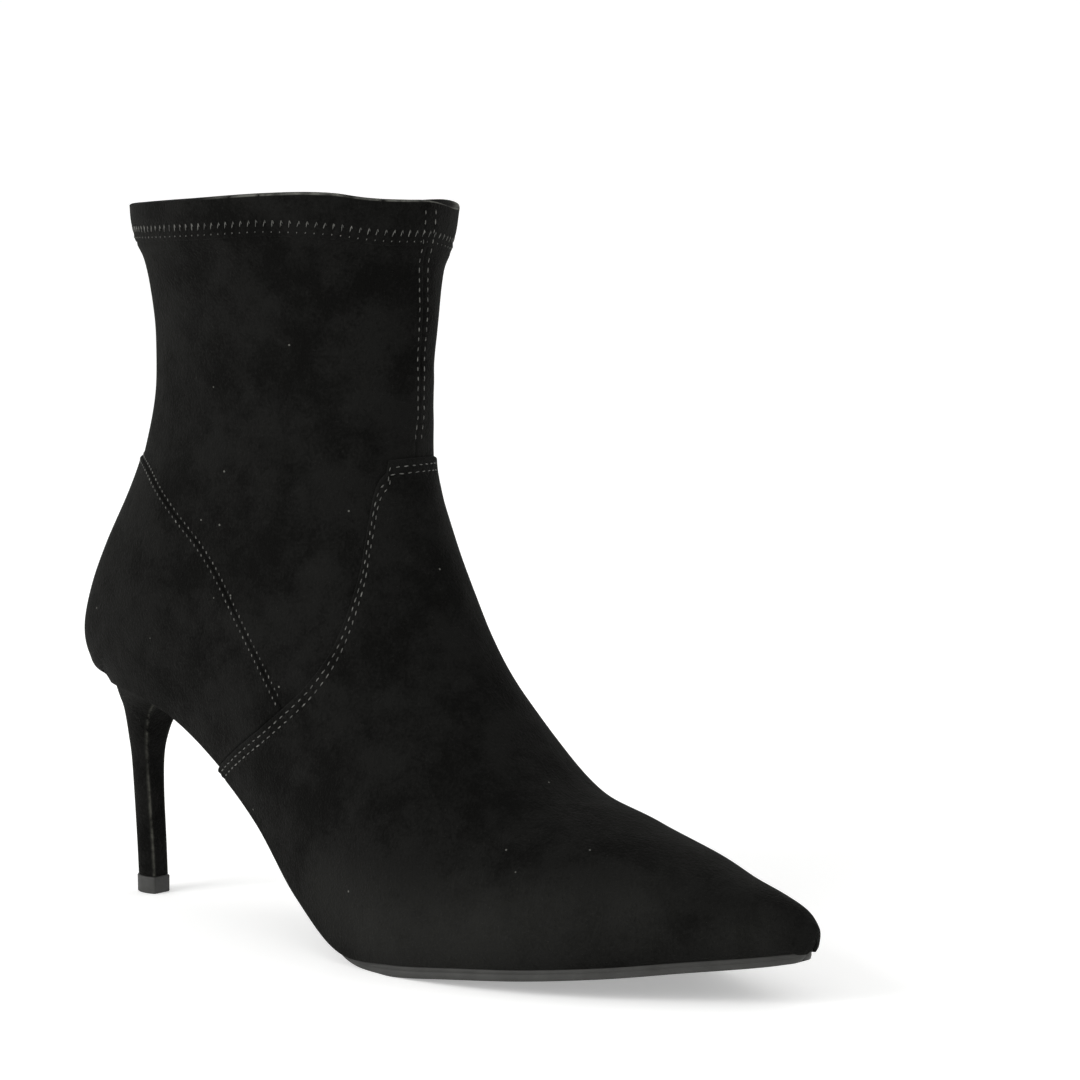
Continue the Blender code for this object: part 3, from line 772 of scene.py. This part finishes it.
def counterSides():
    # The panel's four sides as (t, q): the long seam, the vamp's edge, the feather line and the back
    behind = resampled(counterLine, 400)
    behind = behind[behind[:, 0] > -30]
    depth = signedSide(np.stack([behind[:, 0], 0 * behind[:, 0], behind[:, 1]], 1), vampLine)
    seam = behind[:np.nonzero(depth > -0.4)[0][0]]
    backAt = np.nonzero(seam[:, 0] > backX(seam[:, 1]) + 0.02)[0][0]
    seam = placeInSide(seam[backAt:])
    seam = np.vstack([[np.interp(behind[backAt, 1], backZ, backT), 0.0], seam])
    corner = lastPoints(seam[-1, 0], seam[-1, 1])
    edge = smoothLine(last["vampEdge"], 30)
    edge = edge[edge[:, 1] < corner[2]]
    front = np.vstack([seam[-1], placeInSide(edge)])
    foot = np.nonzero(front[:, 1] <= 0)[0][0]
    return seam, front[:foot + 1]


backT = np.linspace(last["seatEnd"] + 0.01, 26, 400)
backZ = lastPoints(backT, 0.0)[:, 2]


def backX(z):
    # Where the back line of the bootie stands at a height
    return lastPoints(np.interp(z, backZ, backT), 0.0)[:, 0]


def patch(seam, front, columns, rows):
    # A grid of places blended between the four sides
    a = np.linspace(0, 1, columns)[:, None]
    near = np.concatenate([np.array([0.0, 0.06, 0.2, 0.4, 0.7]), np.arange(1.0, 6.0, 0.4)]) / 60
    b = np.concatenate([near, np.linspace(near[-1], 1, rows)[1:]])[None, :]
    upperSide = resampled(seam, columns)[:, None, :]
    frontLine = resampled(front, 200)
    along = np.linspace(0, 1, 200)
    frontSide = np.stack([np.interp(b[0], along, frontLine[:, axis]) for axis in (0, 1)], 1)[None, :, :]
    end = last["seatEnd"]
    backSide = np.stack([seam[0, 0] + (end - seam[0, 0]) * b[0], 0 * b[0]], 1)[None, :, :]
    lowerSide = np.stack([end + (front[-1, 0] - end) * a[:, 0], 0 * a[:, 0]], 1)[:, None, :]
    a, b = a[..., None], b[..., None]
    corners = ((1 - a) * (1 - b) * seam[0] + a * (1 - b) * seam[-1] + a * b * front[-1]
               + (1 - a) * b * np.array([end, 0.0]))
    return (1 - b) * upperSide + b * lowerSide + (1 - a) * backSide + a * frontSide - corners


counterSeam, counterFront = counterSides()


def makeCounter():
    places = patch(counterSeam, counterFront, counter["columns"], counter["rows"])
    t, q = places[..., 0], np.clip(places[..., 1], 0, 1)
    bm = bmesh.new()
    for side in (-1, 1):
        s = q if side < 0 else 2 - q
        base = lastPoints(t, s)
        distance = np.minimum(np.abs(signedSide(base, counterLine)) + 1e-4, 50)
        distance[:, 0] = 0
        offset = edgeProfile(distance, counter)
        points = base + lastNormals(t, s) * (offset + creaseDepth(base))[..., None]
        points = settle(points, base, t, s)
        points = np.concatenate([points, featherMargin(points[:, -1], t[:, -1], side)], 1)
        half = gridMesh("counterHalf", points, suede)
        orientOut(half, Vector((0.04, 0.0, 0.1)))
        bm.from_mesh(half.data)
        bpy.data.objects.remove(half)
    bmesh.ops.remove_doubles(bm, verts=bm.verts, dist=0.00005)
    piece = finishMesh("counterPanel", bm, suede)
    addWall(piece, counter["wall"])
    onBoot(piece, "suede", "counter")


makeCounter()
print("counter made")


# Sole, sock lining, heel and top piece

sole = {"thick": 3.1, "toeThick": 2.4, "waistThick": 1.2, "waistInset": 2.6, "gap": 0.1,
        "stripShare": 0.3, "stripInset": 0.08, "edgeInset": -0.75, "grooveDepth": 0.1, "bevel": 0.35,
        "start": 0.03, "toeFrom": 3.0, "toeBack": 2.2, "toeSlant": 0.26, "steadyFrom": 2.2,
        "waistFrom": 8.0, "waistTo": 9.2, "breast": 13.3, "rings": 190}


def belowFeather(place, depth):
    # A point under the feather line. At the toe the sole ends short of the upper, slanting back.
    steady = max(place, sole["steadyFrom"])
    after, before = lastPoints(steady + 0.05, 0.0)[..., (0, 2)], lastPoints(steady - 0.05, 0.0)[..., (0, 2)]
    run = (after - before) / np.linalg.norm(after - before)
    values, tuck = sectionAt(place)
    row = dict(zip(last["columns"], values[0]))
    x, z = row["lowX"], row["lowZ"]
    if place < sole["toeFrom"]:
        share = (1 - place / sole["toeFrom"]) ** 2
        x -= share * (sole["toeBack"] + sole["toeSlant"] * max(depth, 0) ** 2)
        z = float(np.interp(x, footLine[:, 0], footLine[:, 2]))
    return row, float(tuck[0]), x - run[1] * depth, z + run[0] * depth


def edgeRing(place, profile, lowest=None):
    lateral, medial = [], []
    for inset, depth in profile:
        row, tuck, x, z = belowFeather(place, depth)
        z = z if lowest is None else max(z, lowest)
        lateral.append((x, row["mid"] - max(row["out"] * tuck - inset, 0.0), z))
        medial.append((x, row["mid"] + max(row["inn"] * tuck - inset, 0.0), z))
    return lateral + medial[::-1] + lateral[:1]


def soleProfile(place):
    nose = min(place / 1.2, 1.0)
    thin = min(max((sole["waistFrom"] - place) / (sole["waistFrom"] - sole["start"]), 0.0), 1.0)
    waist = min(max((place - sole["waistFrom"]) / (sole["waistTo"] - sole["waistFrom"]), 0.0), 1.0)
    thick = sole["thick"] + (sole["toeThick"] - sole["thick"]) * thin
    thick += (sole["waistThick"] - sole["thick"]) * waist
    inset = sole["edgeInset"] * nose + sole["waistInset"] * waist
    low = 0.3 + thick
    strip = 0.3 + thick * sole["stripShare"]
    groove = inset + sole["stripInset"] + sole["grooveDepth"] * (1.0 - waist)
    bevel = sole["bevel"]
    return ((inset + sole["stripInset"] + 6, sole["gap"]), (inset + sole["stripInset"] + 0.15, sole["gap"]),
            (inset + sole["stripInset"], sole["gap"] + 0.15), (inset + sole["stripInset"], strip),
            (groove, strip + 0.1), (groove, strip + 0.2), (inset + 0.08, strip + 0.3), (inset, strip + 0.42),
            (inset, low - bevel), (inset + bevel * 0.3, low - bevel * 0.3), (inset + bevel, low),
            (inset + bevel + 4, low))


def makeSole():
    places = np.linspace(sole["start"], sole["breast"], sole["rings"])
    rings = [edgeRing(place, soleProfile(place), 0.0) for place in places]
    piece = gridMesh("soleUnit", np.array(rings), rubber, fillEnds=True)
    piece.data.materials.append(soleFace)
    for face in piece.data.polygons:
        if face.normal.z < -0.75 and face.area > 0.0000005:
            face.material_index = 1
    piece.data.set_sharp_from_angle(angle=math.radians(50))
    onBoot(piece, "rubber", "outsole")


sockPad = {"thick": 1.6, "inset": 1.9, "start": 1.9, "end": 14.7, "rings": 120}


def makeSockLining():
    places = np.linspace(sockPad["start"], sockPad["end"], sockPad["rings"])
    inset, thick = sockPad["inset"], sockPad["thick"]
    profile = ((inset + 5, -thick), (inset + 0.5, -thick), (inset + 0.1, -thick + 0.3), (inset, -thick + 0.7),
               (inset, 0.0), (inset + 4, 0.0))
    rings = [edgeRing(place, profile) for place in places]
    piece = gridMesh("sockLining", np.array(rings), sockLining, fillEnds=True)
    piece.data.set_sharp_from_angle(angle=math.radians(60))
    onBoot(piece, "lining", "insole")


heel = {
    "columns": ("z", "front", "back", "half"),
    "rows": ((5.15, 3.6, -4.3, 3.7), (15.0, 2.9, -5.0, 3.8), (30.0, 1.6, -6.2, 4.1), (40.0, 1.2, -7.0, 4.7),
             (46.0, 1.8, -7.7, 5.8), (51.0, 3.2, -8.1, 7.3), (55.0, 6.0, -8.2, 9.6),
             (58.5, 11.0, -8.5, 13.0)),
    "breastAngle": 38.0, "cupPlace": 13.48, "cupInset": 0.2, "cupGap": 0.0, "cupNarrow": 0.975,
    "cupCentre": 10.0, "arcSteps": 28, "subSteps": 10, "cornerRound": 0.5,
    "cornersTo": 56.0, "highlightWidth": 0.38,
}


def heelRing(front, back, half, z):
    breast = math.radians(heel["breastAngle"])
    middle = (front + back * math.sin(breast)) / (1.0 + math.sin(breast))
    angles = -breast + (math.pi / 2 + breast) * np.linspace(0, 1, heel["arcSteps"])
    x = middle - (middle - back) * np.sin(angles)
    return np.stack([x, -half * np.cos(angles), np.full(len(angles), z)], 1)


def markEdgeHighlight(bm, *corners):
    # A pale highlight painted along the two front corners
    layer = bm.verts.layers.float.new("edgeHighlight")
    for corner in corners:
        for vertex in bm.verts:
            place = np.array(vertex.co) / mm
            away = np.abs(np.linalg.norm(corner - place, axis=1)).min()
            vertex[layer] = max(vertex[layer], math.exp(-(away / heel["highlightWidth"]) ** 2))


def bothSides(ring):
    return np.vstack([ring, (ring * np.array([1.0, -1.0, 1.0]))[-2::-1]])


def fromDraft(draft):
    bm = bmesh.new()
    bm.from_mesh(draft.data)
    bpy.data.objects.remove(draft)
    return bm


def roundEdges(bm, edges, angle, size):
    # Bevels those of the edges that fold by more than the angle in degrees
    sharp = [edge for edge in edges if edge.is_manifold and edge.calc_face_angle() > math.radians(angle)]
    bmesh.ops.bevel(bm, geom=sharp, offset=size * mm, segments=3, profile=0.5, affect="EDGES", material=-1)
    bmesh.ops.recalc_face_normals(bm, faces=bm.faces)


def makeHeel():
    shares = np.linspace(0, 1, heel["arcSteps"])[::-1] ** 1.7
    places = last["seatEnd"] - 0.015 + (heel["cupPlace"] - last["seatEnd"] + 0.015) * shares
    seat = np.array([edgeRing(place, ((heel["cupInset"], heel["cupGap"]),)) for place in places])
    whole = [bothSides(heelRing(front, back, half, z)) for z, front, back, half in heel["rows"]]
    cup = np.vstack([seat[:, 0], seat[-2::-1, 1]])
    cup[:, 0] = heel["cupCentre"] + (cup[:, 0] - heel["cupCentre"]) * heel["cupNarrow"]
    cup[:, 1] *= heel["cupNarrow"]
    whole.append(cup)
    padded = [2 * whole[0] - whole[1], *whole, 2 * whole[-1] - whole[-2]]
    rows = []
    for index in range(len(whole) - 1):
        group = padded[index:index + 4]
        rows += [between(*group, step / heel["subSteps"]) for step in range(heel["subSteps"])]
    rows.append(whole[-1])
    rows = np.array(rows)
    across = [rows[:, -1:] + (rows[:, :1] - rows[:, -1:]) * share for share in (0.15, 0.5, 0.85, 1.0)]
    rows = np.concatenate([rows] + across, 1)
    bm = fromDraft(gridMesh("heelDraft", rows, heelSuede, fillEnds=True))
    upright = [edge for edge in bm.edges if edge.is_manifold and edge.verts[0].co.z < heel["cornersTo"] * mm
               and abs((edge.verts[0].co - edge.verts[1].co).normalized().z) > 0.6]
    roundEdges(bm, upright, 28, heel["cornerRound"])
    markEdgeHighlight(bm, rows[:, 0], rows[:, 2 * heel["arcSteps"] - 2])
    piece = finishMesh("heelBlock", bm, heelSuede)
    piece.data.set_sharp_from_angle(angle=math.radians(45))
    onBoot(piece, "suede", "heel")


tip = {"columns": ("z", "front", "back", "half"),
       "rows": ((0.0, 4.1, -4.6, 3.9), (5.0, 4.0, -4.8, 3.95)), "round": 0.35}


def makeTopPiece():
    rings = []
    for z, front, back, half in tip["rows"]:
        ring = bothSides(heelRing(front, back, half, z))
        rings.append(np.vstack([ring, ring[:1]]))
    bm = fromDraft(gridMesh("tipDraft", np.array(rings), tipRubber, fillEnds=True))
    roundEdges(bm, bm.edges, 35, tip["round"])
    piece = finishMesh("topPiece", bm, tipRubber)
    piece.data.set_sharp_from_angle(angle=math.radians(45))
    onBoot(piece, "rubber", "top_piece")


makeSole()
makeSockLining()
makeHeel()
makeTopPiece()
print("sole and heel made")


# Stitching

stitch = {"long": 1.5, "wide": 0.32, "high": 0.32, "pitch": 2.7, "proud": 0.03}


def marksAlong(points, normals, pitch, lengths):
    # Evenly spaced places with their directions along a line on the surface
    run = runOf(points)
    marks = []
    for at in np.arange(pitch / 2, run[-1] - pitch / 2, pitch):
        place, ahead = pointAt(at, run, points), pointAt(at + 0.4, run, points)
        out = pointAt(at, run, normals)
        marks.append((Vector(place), Vector(ahead - place).normalized(), Vector(out).normalized(), lengths))
    return marks


def sewMarks(bm, marks, wide=None, high=None, lean=0.0):
    for place, along, out, length in marks:
        across = out.cross(along).normalized()
        up = along.cross(across).normalized()
        wobble = lean + random.uniform(-0.14, 0.14)
        along = (along + across * wobble).normalized()
        across = up.cross(along).normalized()
        basis = Matrix((along, across, up)).transposed().to_4x4()
        thin = random.uniform(0.75, 1.1)
        size = Matrix.Diagonal((length * random.uniform(0.78, 1.08), (wide or stitch["wide"]) * thin,
                                high or stitch["high"], 1))
        matrix = Matrix.Translation(place * mm) @ basis @ size @ Matrix.Scale(mm, 4)
        matrix = matrix @ Matrix.Rotation(math.pi / 2, 4, "Y")
        bmesh.ops.create_uvsphere(bm, u_segments=8, v_segments=5, radius=0.5, matrix=matrix)


def sewn(name, bm):
    onBoot(finishMesh(name, bm, thread), "suede")


def sewLine(t, s, offset, pitch=None, length=None):
    base = lastPoints(t, s)
    normal = lastNormals(t, s)
    points = base + normal * (offset + creaseDepth(base))[:, None]
    return marksAlong(points, normal, pitch or stitch["pitch"], length or stitch["long"])


def makeStitches():
    bm = bmesh.new()
    # Two rows along the vamp's edge
    s, edge = vampEdgeT["s"], vampEdgeT["t"]
    for at in vamp["rowsAt"]:
        t = arcPlaces(edge - 4, edge, s, np.array([at]))
        sewMarks(bm, sewLine(t[:, 0], s, vamp["thick"] - vamp["rowDepth"] + stitch["proud"]))
    sewn("vampStitches", bm)
    # Two rows along the counter's long seam
    bm = bmesh.new()
    for at in counter["stitchAt"]:
        line = resampled(shifted(counterLine, -at), 400)
        depth = signedSide(np.stack([line[:, 0], 0 * line[:, 0], line[:, 1]], 1), vampLine)
        line = line[(depth < -1.0) & (line[:, 0] > backX(line[:, 1]) + 0.3)]
        places = np.vstack([[np.interp(line[0, 1], backZ, backT), 0.0], placeInSide(line)])
        run = np.linspace(0, 1, 20)[1:-1, None]
        places = np.vstack([places[:1], places[0] + (places[1] - places[0]) * run, places[1:]])
        for side in (-1, 1):
            s = places[:, 1] if side < 0 else 2 - places[:, 1]
            onPanel, onShaft = counter["stitchLift"]
            height = onShaft if at < 0 else counter["thick"] + onPanel
            marks = sewLine(places[:, 0], s, height, counter["stitchPitch"], counter["stitchLong"])
            sewMarks(bm, marks, counter["stitchWide"], counter["stitchWide"], side * counter["stitchLean"])
    sewn("counterStitches", bm)
    # Two rows beside the seam down the front of the shaft
    bm = bmesh.new()
    for places in (((205, -3.2), (158, -2.2), (139, -1.3)), ((205, 0.9), (158, 0.3), (139, 1.1))):
        t = np.linspace(25.4, 13.9, 160)
        ridge = lastPoints(t, 1.0 + 0 * t)
        s = shareAtWidth(t, np.interp(ridge[:, 2], *zip(*sorted(places))))
        keep = ridge[:, 2] > 134.0
        base = lastPoints(t, s)
        height = base[:, 2] - collarHeight(base) + bandHeight(base)
        offset = np.where(height > 0, bandOffset(height), shaftOffset(base) - creaseDepth(base)) + 0.05
        keep &= base[:, 2] < collarHeight(base) - 1.2
        sewMarks(bm, sewLine(t[keep], s[keep], offset[keep], 2.7, 1.45), 0.3)
    sewn("frontStitches", bm)


def shareAtWidth(t, y):
    # The s at which the section is y millimetres from the middle, near the ridge
    values, tuck = sectionAt(t)
    reach = np.where(y < 0, values[:, column["out"]], values[:, column["inn"]])
    share = np.clip(np.abs(y - values[:, column["mid"]]) / reach, 0, 1)
    angle = np.arccos(share ** (values[:, column["square"]] / 2))
    q = last["bellyShare"] + (1 - last["bellyShare"]) * angle / (math.pi / 2)
    return np.where(y < 0, q, 2 - q)


hem = {"pitch": 2.4, "legFoot": 2.7, "legTop": 4.7, "dotAt": 1.4, "lean": 0.7}


def makeHemStitches():
    # The folded hem is caught with a slanting stitch, with a dot of thread under each leg
    s = np.linspace(0, 2, 600)
    lines = {}
    for key in ("legFoot", "legTop", "dotAt"):
        t = crossing(s, aboveBandFoot(hem[key]), *last["shaftSpan"])
        base = lastPoints(t, s)
        normal = lastNormals(t, s)
        lines[key] = (base + normal * (bandOffset(hem[key]) + 0.04 + creaseDepth(base))[:, None], normal)
    bm = bmesh.new()
    foot, normal = lines["legFoot"]
    run = runOf(foot)
    for where in np.arange(0.5, run[-1] - 0.5, hem["pitch"]):
        low = pointAt(where, run, foot)
        high = pointAt(where + hem["lean"] + random.uniform(-0.12, 0.12), run, lines["legTop"][0])
        out = Vector(pointAt(where, run, normal)).normalized()
        leg = Vector(high - low)
        sewMarks(bm, [(Vector((low + high) / 2), leg.normalized(), out, leg.length)], 0.22, 0.24)
        back = Vector(pointAt(where + 0.95, run, foot)) - Vector(high)
        sewMarks(bm, [(Vector(high) + back * 0.3, back.normalized(), out, leg.length * 0.45)], 0.16, 0.18)
        dot = pointAt(where - 0.3, run, lines["dotAt"][0])
        sewMarks(bm, [(Vector(dot), leg.normalized(), out, 0.5)], 0.26, 0.24)
    sewn("hemStitches", bm)


makeStitches()
makeHemStitches()
print("stitches made")


# Stage

stage = {"flat": 4.0, "rise": 4.0, "cameraPlace": (0.8561, -0.9184, 0.2527),
         "right": (0.7876, 0.6159, 0.0177), "up": (-0.0861, 0.0815, 0.9929), "lens": 145.3,
         "keyPower": 24.0, "keyPlace": (-0.5, -1.7, 0.9), "keySize": 1.0, "fillPower": 3.0,
         "fillPlace": (1.5, 0.9, 1.3), "fillSize": 1.2, "sky": 0.68, "glow": 0.34,
         "aim": (0.1, 0.0, 0.1)}


def makeStage():
    # A flat floor that sweeps up all round far behind, so that no horizon shows
    bm = bmesh.new()
    flat, rise = stage["flat"], stage["rise"]
    turns = np.radians(np.linspace(5, 70, 14))
    profile = [(0.0, 0.0), (flat, 0.0)]
    profile += [(flat + rise * math.sin(turn), rise * (1 - math.cos(turn))) for turn in turns]
    verts = [bm.verts.new((x, 0.0, z)) for x, z in profile]
    edges = [bm.edges.new(pair) for pair in zip(verts, verts[1:])]
    bmesh.ops.spin(bm, geom=verts + edges, cent=(0, 0, 0), axis=(0, 0, 1), angle=2 * math.pi, steps=72,
                   use_duplicate=False)
    bmesh.ops.remove_doubles(bm, verts=bm.verts, dist=0.0001)
    bmesh.ops.recalc_face_normals(bm, faces=bm.faces)
    paper, tree = newMaterial("paintedFloor")
    place = addNode(tree, "ShaderNodeTexCoord").outputs["Object"]
    drift = addNode(tree, "ShaderNodeTexNoise", {"Scale": 2.0}, {"Vector": place}).outputs["Fac"]
    tone = ramp(tree, drift, ((0.3, hexColour("f3f3f2")), (0.7, hexColour("f6f6f5"))))
    shader = addNode(tree, "ShaderNodeBsdfPrincipled",
                     {"Roughness": 0.8, "Specular IOR Level": 0.2, "Emission Color": hexColour("ffffff"),
                      "Emission Strength": stage["glow"]}, {"Base Color": tone.outputs["Color"]})
    addNode(tree, "ShaderNodeOutputMaterial", {}, {"Surface": shader.outputs[0]})
    floor = finishMesh("floor", bm, paper)
    scene = bpy.context.scene
    world = bpy.data.worlds.new("softboxRoom")
    world.use_nodes = True
    background = world.node_tree.nodes["Background"]
    background.inputs["Color"].default_value = (1.0, 1.0, 1.0, 1.0)
    background.inputs["Strength"].default_value = stage["sky"]
    scene.world = world
    for name in ("key", "fill"):
        place = stage[name + "Place"]
        lamp = bpy.data.lights.new(name + "Panel", "AREA")
        lamp.size = stage[name + "Size"]
        lamp.energy = stage[name + "Power"]
        holder = bpy.data.objects.new(name + "Panel", lamp)
        holder.location = place
        aim = Vector(stage["aim"]) - Vector(place)
        holder.rotation_euler = aim.to_track_quat("-Z", "Y").to_euler()
        scene.collection.objects.link(holder)
    right, up = Vector(stage["right"]).normalized(), Vector(stage["up"])
    back = right.cross(up).normalized()
    up = back.cross(right)
    camera = bpy.data.objects.new("camera", bpy.data.cameras.new("camera"))
    turned = Matrix((right, up, back)).transposed().to_4x4()
    camera.matrix_world = Matrix.Translation(stage["cameraPlace"]) @ turned
    camera.data.sensor_width = 36.0
    camera.data.lens = stage["lens"]
    camera.data.clip_end = 50.0
    scene.collection.objects.link(camera)
    scene.camera = camera
    scene.view_settings.view_transform = "Standard"


makeStage()
print("stage made")
